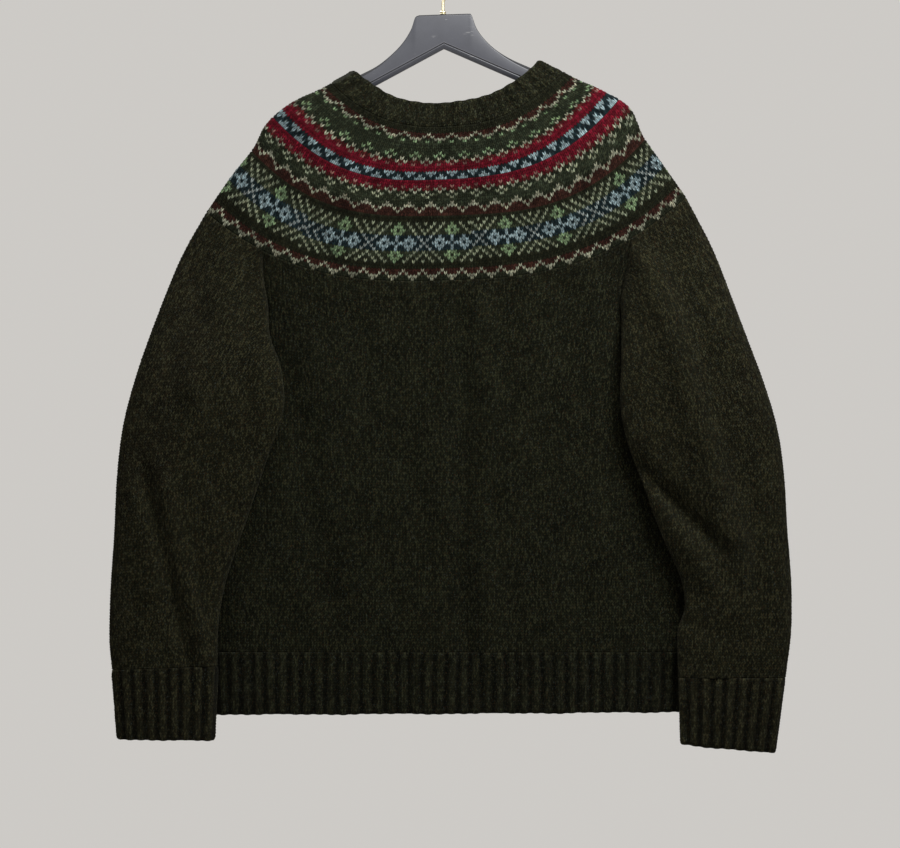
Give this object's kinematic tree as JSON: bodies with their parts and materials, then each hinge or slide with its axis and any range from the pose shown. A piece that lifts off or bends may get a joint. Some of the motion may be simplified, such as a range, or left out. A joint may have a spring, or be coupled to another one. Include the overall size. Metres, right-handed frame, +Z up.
{
  "type": "fair isle jumper on a hanger",
  "caption": "Long-sleeved knitted jumper with a round patterned yoke and ribbed edges, hung flat on a plain hanger with a hook for a rail.",
  "frame": {"origin": "top of the inside of the hook, where the rail carries the hanger", "axes": "+X to the right and +Z up for someone who faces the back of the jumper, which is its -Y side; its front is the +Y side"},
  "size_m": [0.7644, 0.0692, 0.8917],
  "materials": {
    "yoke_wool": "stranded knit in greens, crimson, navy, pale green, pale blue and cream on dark wool",
    "dark_wool": "plain and ribbed knit in dark olive wool, flecked",
    "hanger_plastic": "smooth satin grey",
    "hook_brass": "polished wire"
  },
  "bodies": {
    "root": {"yoke": "yoke_wool", "neckband": "dark_wool", "back_panel": "dark_wool", "front_panel": "dark_wool", "hem_rib_back": "dark_wool", "hem_rib_front": "dark_wool", "sleeve_left_back": "dark_wool", "sleeve_left_front": "dark_wool", "sleeve_right_back": "dark_wool", "sleeve_right_front": "dark_wool", "cuff_left": "dark_wool", "cuff_right": "dark_wool", "hanger_bar": "hanger_plastic", "hanger_hook": "hook_brass", "hook_collar": "hook_brass"}
  },
  "joints": []
}
